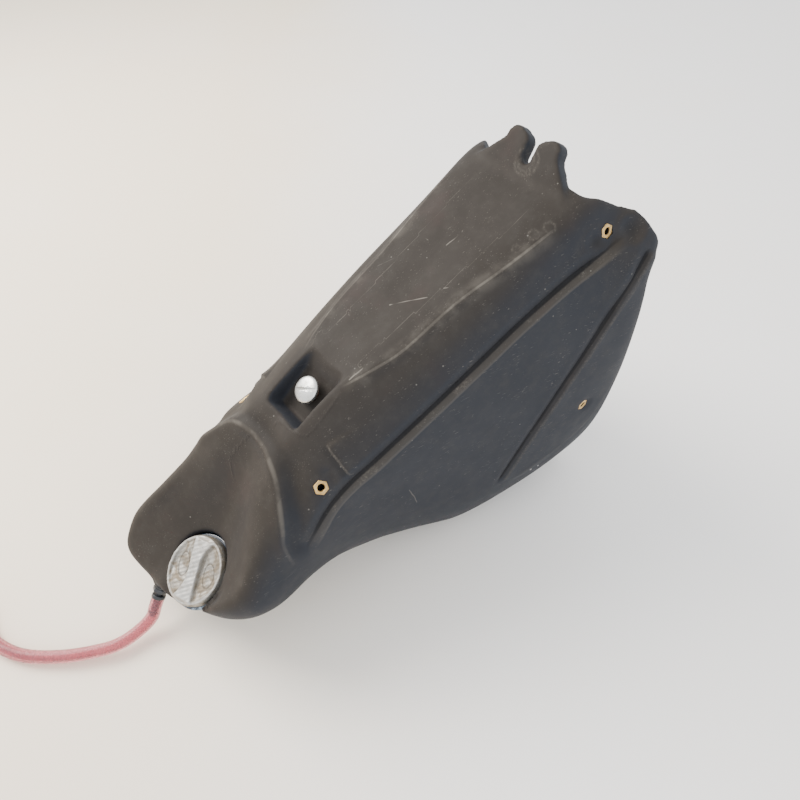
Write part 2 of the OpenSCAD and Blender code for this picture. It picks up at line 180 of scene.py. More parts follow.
def settle(obj):
    """Applies the modifiers of obj to its mesh."""
    graph = bpy.context.evaluated_depsgraph_get()
    mesh = bpy.data.meshes.new_from_object(obj.evaluated_get(graph))
    obj.modifiers.clear()
    old = obj.data
    obj.data = mesh
    mesh.name = obj.name
    bpy.data.meshes.remove(old)
    return obj


def modify(obj, kind, **values):
    modifier = obj.modifiers.new(kind.lower(), kind)
    for key, value in values.items():
        setattr(modifier, key, value)


def combine(obj, tools, operation):
    for tool in tools:
        modify(obj, "BOOLEAN", object=tool, operation=operation, solver="MANIFOLD")
        settle(obj)
        bpy.data.objects.remove(tool)


def cut(obj, *tools):
    combine(obj, tools, "DIFFERENCE")


def join(obj, *tools):
    combine(obj, tools, "UNION")


def smooth_shade(obj, degrees):
    """Smooth shading, with the edges that bend more than this kept sharp."""
    obj.data.shade_smooth()
    obj.data.set_sharp_from_angle(angle=math.radians(degrees))
    return obj


def round_edges(obj, width, segments, degrees=30):
    """Rounds the edges of obj that bend more than degrees, by a width in millimetres."""
    modify(obj, "BEVEL", width=width * MM, segments=segments, limit_method="ANGLE", angle_limit=math.radians(degrees))
    return settle(obj)


def finish_piece(obj, paint, body, node):
    obj.data.materials.clear()
    obj.data.materials.append(paint)
    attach(obj, body)
    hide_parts(node)


def refined(node, width):
    """A copy of a CAD node's mesh with its sharp edges rounded."""
    obj = put_in_scene(node + "_skin", frame["nodes"][node].data.copy())
    weld(obj, 2e-6)
    return smooth_shade(round_edges(obj, width, 2), 35)


# ---- materials
LINE_WOBBLE = 0.002  # how far a drawn scratch strays from straight, in metres


class Paint:
    """A material under construction: short calls that add nodes and return sockets."""

    def __init__(self, name, color, roughness, metallic=0.0, **sockets):
        self.material = bpy.data.materials.new(name)
        self.material.use_nodes = True
        self.tree = self.material.node_tree
        self.shader = self.tree.nodes["Principled BSDF"]
        self.set("Base Color", (*color, 1))
        self.set("Roughness", roughness)
        self.set("Metallic", metallic)
        for key, value in sockets.items():
            self.set(key.replace("_", " ").title().replace("Ior", "IOR"), value)
        self.here = self.node("ShaderNodeTexCoord").outputs["Object"]

    def set(self, socket, value):
        self.shader.inputs[socket].default_value = value

    def node(self, kind, inputs=(), **values):
        n = self.tree.nodes.new(kind)
        for key, value in values.items():
            setattr(n, key, value)
        for key, value in dict(inputs).items():
            self.feed(n.inputs[key], value)
        return n

    def feed(self, socket, value):
        if isinstance(value, bpy.types.NodeSocket):
            self.tree.links.new(value, socket)
        else:
            socket.default_value = value

    def math(self, operation, a, b=0.0, clamp=False):
        return self.node("ShaderNodeMath", {0: a, 1: b}, operation=operation, use_clamp=clamp).outputs[0]

    def vector(self, operation, a, b=(0, 0, 0), scale=None):
        inputs = {0: a, 1: b}
        n = self.node("ShaderNodeVectorMath", inputs, operation=operation)
        if scale is not None:
            self.feed(n.inputs["Scale"], scale)
        return n.outputs["Value" if operation in ("DOT_PRODUCT", "LENGTH", "DISTANCE") else "Vector"]

    def stretch(self, scale, turn=(0, 0, 0)):
        inputs = {"Vector": self.here, "Rotation": turn, "Scale": scale}
        return self.node("ShaderNodeMapping", inputs).outputs[0]

    def noise(self, scale, detail=4.0, rough=0.55, vector=None, warp=0.0):
        inputs = {
            "Vector": vector or self.here, "Scale": scale, "Detail": detail,
            "Roughness": rough, "Distortion": warp,
        }
        return self.node("ShaderNodeTexNoise", inputs).outputs[0]

    def cell_gap(self, scale):
        """The distance to the nearest of many points strewn over the surface."""
        return self.node("ShaderNodeTexVoronoi", {"Vector": self.here, "Scale": scale}).outputs["Distance"]

    def spread(self, value, low, high, to_low=0.0, to_high=1.0):
        """Maps value from low..high to to_low..to_high, smoothly and with no overshoot."""
        inputs = {0: value, 1: low, 2: high, 3: to_low, 4: to_high}
        return self.node("ShaderNodeMapRange", inputs, interpolation_type="SMOOTHSTEP").outputs[0]

    def mix(self, share, a, b):
        n = self.node("ShaderNodeMix", data_type="RGBA")
        self.feed(n.inputs[0], share)
        for socket, value in ((n.inputs[6], a), (n.inputs[7], b)):
            self.feed(socket, (*value, 1) if isinstance(value, tuple) and len(value) == 3 else value)
        return n.outputs[2]

    def attribute(self, name):
        return self.node("ShaderNodeAttribute", attribute_name=name).outputs["Fac"]

    def color(self, socket):
        self.feed(self.shader.inputs["Base Color"], socket)

    def rough(self, socket):
        self.feed(self.shader.inputs["Roughness"], socket)

    def bump(self, height, strength, distance, below=None):
        inputs = {"Height": height, "Strength": strength, "Distance": distance}
        if below is not None:
            inputs["Normal"] = below
        out = self.node("ShaderNodeBump", inputs).outputs[0]
        self.feed(self.shader.inputs["Normal"], out)
        return out

    def streaks(self, turn, across=900.0, along=25.0):
        """Thin broken lines that run along one direction, from 0 to 1."""
        lines = self.noise(1.0, 2.0, 0.5, self.stretch((along, across, across), turn))
        gate = self.spread(self.noise(45.0, 2.0, 0.5, self.stretch((1, 1, 1), turn)), 0.5, 0.62)
        return self.math("MULTIPLY", self.spread(lines, 0.66, 0.72), gate)

    def product(self, first, *others):
        for other in others:
            first = self.math("MULTIPLY", first, other)
        return first

    def band(self, value, centre, half, soft):
        """1 where value is within half of centre, falling to 0 over soft."""
        gap = self.math("ABSOLUTE", self.math("SUBTRACT", value, centre))
        return self.spread(gap, half + soft, half)

    def most(self, *values):
        out = values[0]
        for value in values[1:]:
            out = self.math("MAXIMUM", out, value)
        return out

    def line(self, a, b, width):
        """A thin straight mark on the surface between two points, given in tank millimetres."""
        start, end = AT_TANK @ Vector(a), AT_TANK @ Vector(b)
        run = end - start
        noise = self.node("ShaderNodeTexNoise", {"Vector": self.here, "Scale": 40.0}).outputs["Color"]
        wobble = self.vector("SCALE", noise, scale=2 * LINE_WOBBLE)
        middle = start + Vector((LINE_WOBBLE,) * 3)
        offset = self.vector("SUBTRACT", self.vector("ADD", self.here, wobble), tuple(middle))
        share = self.math("DIVIDE", self.vector("DOT_PRODUCT", offset, tuple(run)), run.length_squared, clamp=True)
        nearest = self.vector("SCALE", tuple(run), scale=share)
        gap = self.vector("DISTANCE", offset, nearest)
        return self.spread(gap, width * MM, 0.3 * width * MM)


def shell_paint():
    """Scuffed black polyethylene: brownish on top and bluish on the flanks as painted light, worn and partly lit by
    painted highlight along its moulded lines, with painted shade in its creases and hollows.
    """
    p = Paint("shell_plastic", (0.05, 0.05, 0.055), 0.6, specular_ior_level=0.1)
    normal = p.node("ShaderNodeNewGeometry").outputs["Normal"]
    upward = p.spread(p.vector("DOT_PRODUCT", normal, tuple(UP)), 0.35, 0.98)
    cloud = p.noise(11.0, 6.0, 0.6)
    fine = p.noise(75.0, 6.0, 0.65)
    # Painted light: the flanks get a bluer tone and the top a warmer one, chosen by the way each surface faces.
    flank = p.mix(cloud, (0.021, 0.023, 0.029), (0.031, 0.033, 0.039))
    deck = p.mix(cloud, (0.025, 0.021, 0.018), (0.035, 0.030, 0.026))
    base = p.mix(upward, flank, deck)
    base = p.mix(p.spread(fine, 0.40, 0.80, 0.0, 0.22), base, (0.060, 0.055, 0.049))
    red = p.product(p.spread(p.noise(16.0, 4.0, 0.6), 0.52, 0.72, 0.0, 0.35), upward)
    base = p.mix(red, base, (0.048, 0.033, 0.030))

    grit = p.spread(p.noise(420.0, 4.0, 0.75), 0.42, 0.66)
    patches = p.spread(p.noise(38.0, 4.0, 0.6), 0.40, 0.66)
    here = {name: p.attribute(name + "_here") for name in (*FLANK_LINES, "bulb")}

    def along(name, centre, half, soft, gain=1.0, *shares):
        """A stripe beside a moulded line, as strong as the line is there."""
        return p.product(p.band(p.attribute(name), centre, half, soft), here[name], gain, *shares)

    soft_patches = p.spread(patches, 0.0, 1.0, 0.30, 0.85)
    soft_grit = p.spread(grit, 0.0, 1.0, 0.35, 0.85)
    # Wear along the moulded lines, partly painted highlight: the ledge under the step is lightened where it faces up,
    # and the dome's ridge carries a light line.
    worn_and_highlit = p.most(
        along("ridge", 0.0, 0.4, 1.2, 1.0, soft_patches),
        along("ridge", 0.0, 1.5, 10.0, 0.30, patches),
        along("step", 5.0, 2.2, 3.0, 0.75, patches, soft_grit),
        # Painted highlight: the whole ledge under the step, lightened because it faces up.
        along("step", 5.0, 2.5, 2.5, 0.20),
        along("step", 8.4, 0.3, 1.8, 0.30),
        along("lower", 6.8, 0.4, 2.6, 0.35, soft_grit),
        # Partly painted highlight, partly wear, along the dome's ridge.
        along("bulb", -1.0, 0.3, 2.2, 0.55, soft_patches),
        along("facet", 0.0, 0.6, 2.5, 0.25, soft_grit),
        along("corner", 0.8, 0.4, 1.6, 0.7, soft_grit),
        p.product(p.attribute("worn"), soft_grit),
    )
    base = p.mix(p.product(worn_and_highlit, 0.85), base, (0.15, 0.135, 0.115))

    scratches = None
    for turn, gain in ((0.35, 0.22), (-0.6, 0.20), (1.2, 0.14)):
        lines = p.product(p.streaks((0.1, 0.5, turn)), gain)
        scratches = lines if scratches is None else p.math("MAXIMUM", scratches, lines)
    for a, b, width, gain in DECK_MARKS:
        scratches = p.math("MAXIMUM", scratches, p.product(p.line(a, b, width), gain))
    base = p.mix(scratches, base, (0.24, 0.22, 0.19))

    specks = p.spread(p.cell_gap(55.0), 0.055, 0.025, 0.0, 0.5)
    base = p.mix(specks, base, (0.20, 0.19, 0.17))
    for spot, size in PALE_SPOTS:
        gap = p.vector("DISTANCE", p.here, tuple(AT_TANK @ Vector(spot)))
        base = p.mix(p.spread(gap, size * MM, 0.6 * size * MM), base, (0.55, 0.53, 0.50))

    # Painted shade: in the creases of the steps, on the flank just above each crease where it turns down, in the
    # valley behind the dome, beside each front insert's flat, and where the crease mark says.
    dark = p.most(
        along("step", 0.2, 0.7, 1.8),
        along("lower", 0.2, 0.6, 1.6, 0.95),
        along("step", -2.0, 1.5, 6.0, 0.30),
        along("lower", -2.0, 1.5, 5.0, 0.25),
        along("bulb", 9.0, 2.0, 9.0, 0.30),
        along("corner", -2.5, 1.0, 4.0, 0.30),
        p.attribute("crease"),
    )
    p.color(p.mix(p.product(dark, 0.85), base, (0.009, 0.009, 0.010)))

    rough = p.spread(p.noise(24.0, 5.0, 0.6), 0.3, 0.7, 0.54, 0.63)
    rough = p.math("ADD", rough, p.product(worn_and_highlit, 0.12))
    p.rough(p.math("ADD", rough, p.product(scratches, 0.12), clamp=True))
    skin = p.bump(p.noise(1300.0, 2.0, 0.5), 0.12, 0.0002)
    dents = p.bump(p.noise(70.0, 3.0, 0.5), 0.10, 0.001, below=skin)
    seam = p.bump(p.attribute("seam"), 0.6, 0.0007, below=dents)
    p.bump(p.math("ADD", scratches, p.product(worn_and_highlit, grit)), 0.25, -0.0003, below=seam)
    return p.material


def cast_paint():
    """Rough cast alloy: pale where hands rub it, stained brown in patches, with painted shade in its grooves and down
    its side.
    """
    p = Paint("cast_cap", (0.5, 0.49, 0.46), 0.45, metallic=0.55)
    stain = p.noise(75.0, 6.0, 0.65, warp=0.8)
    blotch = p.noise(150.0, 5.0, 0.7, warp=0.4)
    speck = p.noise(360.0, 2.0, 0.7)
    base = p.mix(p.spread(blotch, 0.30, 0.72), (0.36, 0.345, 0.315), (0.24, 0.22, 0.19))
    base = p.mix(p.spread(stain, 0.42, 0.62, 0.0, 0.85), base, (0.17, 0.13, 0.085))
    base = p.mix(p.spread(speck, 0.56, 0.74, 0.0, 0.5), base, (0.20, 0.17, 0.13))
    rubbed = p.product(p.attribute("worn"), p.spread(blotch, 0.35, 0.6, 0.45, 1.0))
    base = p.mix(rubbed, base, (0.47, 0.465, 0.45))
    # Painted shade from the crease mark: the cap's grooves and its side.
    dark = p.attribute("crease")
    p.color(p.mix(p.product(dark, 0.85), base, (0.085, 0.07, 0.052)))
    p.rough(p.spread(stain, 0.3, 0.75, 0.42, 0.66))
    low = p.bump(speck, 0.3, 0.0004)
    p.bump(p.noise(150.0, 2.0, 0.55), 0.5, 0.0008, below=low)
    return p.material


def gloss_paint():
    """The neck ring's dark blue plastic, with a painted pale blue highlight on the side that faces the nose."""
    p = Paint("ring_plastic", (0.012, 0.02, 0.035), 0.18, coat_weight=0.6, coat_roughness=0.08)
    toward_nose = p.vector("DOT_PRODUCT", p.vector("SUBTRACT", p.here, tuple(AT_TANK.translation)), tuple(RING_HIGHLIGHT))
    side = p.spread(toward_nose, 0.012, 0.030)
    glint_breakup = p.spread(p.noise(190.0, 5.0, 0.7), 0.46, 0.62)
    arcs = p.spread(p.noise(700.0, 3.0, 0.6), 0.48, 0.62, 0.4, 1.0)
    # Painted highlight: pale blue on the nose side, broken up by noise.
    p.color(p.mix(p.product(side, glint_breakup, arcs), (0.012, 0.022, 0.04), (0.42, 0.55, 0.68)))
    p.rough(p.spread(p.noise(90.0, 4.0, 0.6), 0.3, 0.7, 0.12, 0.34))
    p.bump(p.noise(240.0, 3.0, 0.6), 0.2, 0.0004)
    return p.material


def metal_paint(name, light, dark, roughness, grain=600.0, rust=0.0, bands=(1, 1, 1)):
    """A worn metal: two tones, fine scratches and, with rust above 0, brown patches."""
    p = Paint(name, light, roughness, metallic=1.0 if rust < 0.5 else 0.35)
    tone = p.noise(90.0, 5.0, 0.65)
    base = p.mix(p.spread(tone, 0.35, 0.7), light, dark)
    base = p.mix(p.streaks((0.4, 0.1, 0.3), 2200.0, 90.0), base, tuple(min(1, c * 1.3) for c in light))
    # Painted shade where a piece marks its creases, as deep in the inserts' bores.
    base = p.mix(p.attribute("crease"), base, (0.012, 0.010, 0.008))
    if rust:
        patch = p.spread(p.noise(240.0, 6.0, 0.7), 0.62 - 0.3 * rust, 0.75 - 0.25 * rust)
        base = p.mix(patch, base, (0.16, 0.065, 0.025))
    p.color(base)
    p.rough(p.spread(tone, 0.3, 0.75, max(roughness - 0.1, 0.05), roughness + 0.18))
    p.bump(p.noise(1.0, 3.0, 0.6, p.stretch(tuple(grain * b for b in bands))), 0.25, 0.0002)
    return p.material


def rubber_paint(name, color, roughness):
    p = Paint(name, color, roughness)
    dust = p.spread(p.noise(120.0, 5.0, 0.65), 0.45, 0.75, 0.0, 0.5)
    p.color(p.mix(dust, color, tuple(c + 0.05 for c in color)))
    p.rough(p.spread(p.noise(50.0, 4.0, 0.6), 0.3, 0.7, roughness - 0.1, roughness + 0.15))
    p.bump(p.noise(900.0, 3.0, 0.6), 0.2, 0.0003)
    return p.material


def hose_paint():
    p = Paint("hose_pvc", (0.86, 0.60, 0.61), 0.2, transmission_weight=0.82, ior=1.25)
    haze = p.noise(45.0, 4.0, 0.6)
    p.color(p.mix(haze, (0.76, 0.38, 0.41), (0.62, 0.25, 0.29)))
    p.rough(p.spread(p.noise(150.0, 4.0, 0.6), 0.3, 0.7, 0.16, 0.32))
    p.bump(p.noise(240.0, 3.0, 0.5), 0.06, 0.0003)
    return p.material


def strainer_paint():
    p = Paint("mesh_plastic", (0.62, 0.58, 0.46), 0.5)
    cells = p.node("ShaderNodeTexBrick", {"Vector": p.here, "Scale": 900.0}).outputs["Fac"]
    p.color(p.mix(cells, (0.66, 0.62, 0.50), (0.34, 0.31, 0.24)))
    p.bump(cells, 0.5, -0.0003)
    return p.material


def floor_paint():
    p = Paint("floor", (0.95, 0.86, 0.73), 0.6, specular_ior_level=0.3)
    # Painted light: the floor is warm on the left, toward the window lamp, and turns neutral toward the right, with a
    # little random tone.
    across = p.vector("DOT_PRODUCT", p.here, tuple(VIEW_RIGHT))
    shade = p.math("ADD", p.spread(across, -0.45, 0.25), p.spread(p.noise(2.0, 3.0, 0.5), 0.3, 0.7, -0.1, 0.1))
    p.color(p.mix(shade, (0.96, 0.83, 0.66), (0.96, 0.93, 0.90)))
    p.bump(p.noise(30.0, 4.0, 0.6), 0.02, 0.001)
    return p.material


# ---- the shell
# Stations of the moulded shell, as in the CAD source: the place along the tank, then nine
# [left, up] points from the middle of the top round the left half to the tunnel's roof.
STATIONS = [
    (53, [(0, -24), (11, -24), (19, -26), (24, -32), (19, -39), (12, -42), (8, -43), (4, -43), (0, -43)]),
    (48, [(0, -18), (23, -15), (37, -16), (44, -25), (37, -37), (25, -45), (14, -48), (7, -48), (0, -48)]),
    (36, [(0, -14), (36, -9), (54, -8), (62, -18), (55, -34), (38, -47), (22, -53), (10, -54), (0, -54)]),
    (10, [(0, -12), (48, -3), (72, 3), (84, -10), (78, -32), (56, -50), (36, -60), (18, -64), (0, -64)]),
    (-30, [(0, -10), (53, 6), (76, 14), (91, -4), (87, -30), (72, -58), (46, -86), (24, -92), (0, -90)]),
    (-70, [(0, 8), (46, 24), (70, 24), (86, -2), (82, -42), (68, -78), (48, -104), (26, -108), (0, -104)]),
    (-110, [(0, 32), (40, 43), (70, 33), (84, -4), (76, -70), (66, -110), (50, -150), (30, -112), (0, -92)]),
    (-150, [(0, 53), (34, 54), (70, 31), (79, -8), (80, -110), (64, -180), (46, -202), (32, -112), (0, -80)]),
    (-200, [(0, 59), (34, 58), (78, 18), (88, -60), (96, -150), (80, -220), (56, -231), (33, -110), (0, -75)]),
    (-260, [(0, 56), (42, 53), (82, 14), (100, -90), (108, -185), (88, -254), (60, -265), (34, -108), (0, -72)]),
    (-320, [(0, 50), (50, 47), (85, 9), (112, -110), (119, -205), (96, -262), (64, -270), (34, -106), (0, -70)]),
    (-380, [(0, 45), (55, 42), (87, 4), (119, -105), (126, -203), (104, -246), (66, -252), (34, -104), (0, -68)]),
    (-430, [(0, 41), (60, 38), (87, 2), (121, -80), (127, -155), (106, -192), (66, -196), (34, -100), (0, -62)]),
    (-470, [(0, 38), (63, 35), (88, 4), (117, -36), (125, -90), (106, -122), (68, -126), (34, -84), (0, -46)]),
    (-495, [(0, 34), (62, 31), (87, 3), (110, -22), (120, -46), (104, -66), (70, -68), (34, -48), (0, -20)]),
    (-518, [(0, 28), (58, 25), (86, 2), (108, -17), (114, -34), (100, -48), (70, -50), (34, -34), (0, -10)]),
]
STATION_X = np.array([s[0] for s in STATIONS], float)
STATION_P = np.array([s[1] for s in STATIONS], float)

TAIL_END = -518
VOXEL = 0.0022
SOFTEN = 5
RIM_SOFTEN = 60
RING_STEP = 4
POINT_STEPS = 12
# The bay between the two corners of the tail, seen from above
BAY = [(-540, 108), (-560, -140), (-508, -140), (-500, -70), (-478, -46), (-487, 60)]
TAB_ROOT = (-466, 0, 36)
TAB_RAKE = math.radians(30)
TAB_T = 16
SLOT_W = 9.0
HORN_Y = 20.5
POCKET_W = 46.0
POCKET_FRONT = 27.0
WIDEST = 116  # raised lines fade out beyond this, so that the shell stays inside its box

# Lines on the left flank and deck, in tank millimetres. They are mirrored to the right.
DECK_RIDGE = [(-226, 28, 58), (-256, 38, 55), (-288, 45, 50), (-344, 49, 46), (-400, 58, 39), (-452, 65, 34)]
STEP_LINE = [
    (-92, 72, -8), (-114, 75, 4), (-141, 75, 13), (-171, 76, 18), (-200, 78, 17), (-259, 82, 14),
    (-324, 85, 10), (-372, 86, 6), (-430, 89, -1), (-482, 93, -8), (-496, 95, -12),
]
LOWER_STEP = [
    (-257, 107, -166), (-281, 110, -147), (-316, 113, -123), (-367, 115, -95),
    (-414, 116, -72), (-457, 117, -47), (-505, 114, -26),
]
FACET_EDGE = [(-262, 108, -180), (-297, 115, -184), (-336, 122, -192), (-385, 126, -186), (-440, 127, -140)]
# The upper edge of the flat round each front insert
FACE_EDGE = [(-184, 49, 49), (-182, 55, 44), (-180, 63, 36), (-177, 73, 24)]
# The back of the nose's dome, from its right side over the top to its left
BULB_RIDGE = [
    (-88, -78, 22), (-106, -66, 38), (-119, -57, 44), (-133, -47, 49), (-141, -33, 53), (-145, -16, 52),
    (-145, 0, 51), (-143, 16, 52), (-134, 36, 49), (-120, 52, 41), (-105, 65, 31), (-93, 72, 20), (-82, 80, -4),
]
# The mould's thin parting line on the dome, and the thin lip round the pocket's left corner
POCKET_LIP = [
    (-160, 0, 54), (-169, 3, 57), (-172, 18, 58), (-176, 32, 57), (-184, 35, 56), (-206, 34, 57), (-226, 31, 57),
]
PARTING = [(-145, -14, 52), (-132, -20, 47), (-109, -27, 37), (-100, -22, 29), (-92, -15, 23)]
# Shallow dishes behind each rear insert: place, radius, depth
REAR_DISHES = [((-501, 97, -9), 9, 2.2), ((-469, 87, 5), 8, 1.6)]
# Rub marks at the tail tab's slot and where the deck's ridge ends: place, radius
RUB_RINGS = [
    ((-483, 3, 46), 8.0), ((-484, 3, 46), 12.0), ((-433, 56, 39), 4.5), ((-446, 61, 36), 5.0), ((-414, 54, 40), 4.0),
]
# Chips that show pale: place, radius
PALE_SPOTS = [((-138, 65, 33), 1.6), ((-294, 115, -193), 1.8), ((-303, 116, -199), 1.5)]

# Scratches on the deck: two ends in tank millimetres, width in millimetres, strength.
DECK_MARKS = [
    ((-309, 2, 51), (-334, 25, 50), 0.9, 0.55),
    ((-350, 31, 48), (-357, 38, 47), 0.8, 0.45),
    ((-383, -1, 45), (-407, 1, 43), 0.9, 0.5),
    ((-238, 30, 58), (-256, 32, 56), 0.8, 0.6),
    ((-256, 32, 56), (-276, 42, 52), 0.8, 0.55),
    ((-377, -30, 46), (-377, -20, 46), 0.7, 0.35),
    ((-330, -40, 49), (-352, -28, 48), 0.7, 0.3),
    ((-196, 87, -54), (-190, 89, -81), 0.7, 0.25),
    ((-420, 20, 41), (-446, 30, 38), 0.7, 0.3),
]


def hermite(p, q, mp, mq, t):
    """A smooth run from p to q that leaves with slope mp and arrives with slope mq."""
    start, end = 2 * t**3 - 3 * t**2 + 1, 3 * t**2 - 2 * t**3
    return p * start + mp * (t**3 - 2 * t**2 + t) + q * end + mq * (t**3 - t**2)


def station_slope(k):
    a, b = max(k - 1, 0), min(k + 1, len(STATION_X) - 1)
    return (STATION_P[b] - STATION_P[a]) / (STATION_X[b] - STATION_X[a])


def control(x):
    """The nine points of a station at any place along the tank."""
    i = 0
    while i < len(STATION_X) - 2 and x < STATION_X[i + 1]:
        i += 1
    span = STATION_X[i + 1] - STATION_X[i]
    t = (x - STATION_X[i]) / span
    return hermite(STATION_P[i], STATION_P[i + 1], station_slope(i) * span, station_slope(i + 1) * span, t)


def lean(x):
    """How far the shell's middle lies to the left of the filler's plane; it is negative at the nose."""
    return -8 * np.clip((x + 190) / 110, 0, 1) - 50 * np.clip((x + 45) / 103, 0, 1) ** 1.8


def slant(x):
    """How much the nose's front runs back per millimetre to the left of the vent."""
    return 0.18 * np.clip((x + 30) / 80, 0, 1)


def section(x):
    """The shell's closed outline at a place along the tank, from the middle of the top round to the left."""
    c = control(x)
    flip = np.array([-1.0, 1.0])
    c = np.concatenate([[c[1] * flip], c, [c[7] * flip]])
    half = []
    for j in range(1, 9):
        m0, m1 = (c[j + 1] - c[j - 1]) / 2, (c[j + 2] - c[j]) / 2
        for s in range(POINT_STEPS):
            half.append(hermite(c[j], c[j + 1], m0, m1, s / POINT_STEPS))
    ring = half + [c[9]] + [p * flip for p in half[:0:-1]]
    left = [p[0] + lean(x) for p in ring]
    return [(x - slant(x) * (y - VENT_AT[1]), y, p[1]) for p, y in zip(ring, left)]


def curve(line, steps=4):
    """The points of a line, with smooth bends put between them."""
    line = np.asarray(line, float)
    ends = np.concatenate([line[:1], line, line[-1:]])
    out = []
    for a, b, c, d in zip(ends, ends[1:], ends[2:], ends[3:]):
        out += [hermite(b, c, (c - a) / 2, (d - b) / 2, t / steps) for t in range(steps)]
    return np.array(out + [line[-1]])


def nearest_on(line, points):
    """For each point: the nearest place on the line, the line's direction there, and how far along it is."""
    line = np.asarray(line, float)
    lengths = np.linalg.norm(np.diff(line, axis=0), axis=1)
    before = np.concatenate([[0], np.cumsum(lengths)])
    best = np.full(len(points), np.inf)
    place_at = np.zeros_like(points)
    along = np.zeros_like(points)
    share = np.zeros(len(points))
    for k, (a, b) in enumerate(zip(line[:-1], line[1:])):
        run = b - a
        t = np.clip((points - a) @ run / (run @ run), 0, 1)
        q = a + t[:, None] * run
        d = np.linalg.norm(points - q, axis=1)
        near = d < best
        best[near] = d[near]
        place_at[near] = q[near]
        along[near] = run / lengths[k]
        share[near] = ((before[k] + t * lengths[k]) / before[-1])[near]
    return place_at, along, share


def smoothstep(t):
    t = np.clip(t, 0, 1)
    return t * t * (3 - 2 * t)


def beside(line, points, normals, toward, fade=(0.0, 0.06)):
    """Signed distance from a line along the surface, positive toward a direction, and the line's strength."""
    at, along, share = nearest_on(curve(line), points)
    side = np.cross(along, normals)
    side /= np.maximum(np.linalg.norm(side, axis=1), 1e-6)[:, None]
    side *= np.sign(side @ np.asarray(toward, float))[:, None]
    offset = points - at
    s = (offset * side).sum(1)
    off_end = np.abs((offset * along).sum(1))
    depth = np.abs((offset * normals).sum(1))
    strength = smoothstep(1.6 - depth / 15) * smoothstep(1.5 - off_end / 8)
    ends = smoothstep(share / max(fade[0], 1e-3)) * smoothstep((1 - share) / max(fade[1], 1e-3))
    return s, strength * ends


def mirrored(line):
    return [(x, -y + 2 * float(lean(x)), z) for x, y, z in line]


def hump(s, middle, width):
    return np.exp(-(((s - middle) / width) ** 2))


def fade_out(s, reach):
    return np.exp(-np.maximum(s, 0) / reach)


def step_profile(s, drop, band, rise, tail):
    """A bulging upper edge, a sharp drop at the crease, a ledge across the band, then a long fade."""
    above = -drop * fade_out(-s, 3.2) + 0.7 * hump(s, -9, 6)
    ramp = -drop + (drop + rise) * np.clip(s / band, 0, 1)
    below = rise * fade_out(s - band, tail)
    return np.where(s < 0, above, np.where(s < band, ramp, below))


DOWN, REARWARD = (0, 0, -1), (-1, 0, 0)
# Each moulded line: its points, the way its distance grows, how softly its two ends fade, and its
# height at a distance. The flank's lines are mirrored to the right.
FLANK_LINES = {
    "ridge": (DECK_RIDGE, DOWN, (0.10, 0.10), lambda s: 1.3 * hump(s, 0, 6)),
    "step": (STEP_LINE, DOWN, (0.10, 0.10), lambda s: step_profile(s, 3.4, 8.5, 2.0, 24)),
    "lower": (LOWER_STEP, DOWN, (0.04, 0.03), lambda s: step_profile(s, 3.0, 7, 2.0, 26)),
    "facet": (FACET_EDGE, DOWN, (0.10, 0.10), lambda s: 0.9 * hump(s, 0, 6)),
    "corner": (FACE_EDGE, REARWARD, (0.12, 0.12), lambda s: 2.8 * smoothstep(s / 2.5) * fade_out(s, 12)),
}
FAR = 60.0  # the distance that stands for no line nearby


def gap_to(centre, points):
    return np.linalg.norm(points - np.array(centre, float), axis=1)


def bulb_profile(s, points):
    """The back of the nose's dome: a low ridge with a valley behind it that deepens toward the sides."""
    at_side = smoothstep((np.abs(points[:, 1] + 8) - 25) / 30)
    return 2.2 * hump(s, -2, 7) - (1.3 + 3.6 * at_side) * hump(s, 9 + 5 * at_side, 6 + 4 * at_side)


def neck_dip(points, normals):
    """Where the shell falls away in front of the filler's ring, so that the ring stands proud."""
    reach = np.linalg.norm(points[:, :2], axis=1)
    ahead = smoothstep((points[:, :2] @ np.array(NOSE_SIDE[:2]) / np.maximum(reach, 1) - 0.1) / 0.5)
    outside = smoothstep((normals[:, 2] - 0.3) / 0.4) * (reach > RING_D / 2 + 1)
    return 3.5 * ahead * outside * (1 - smoothstep((reach - 39) / 12))


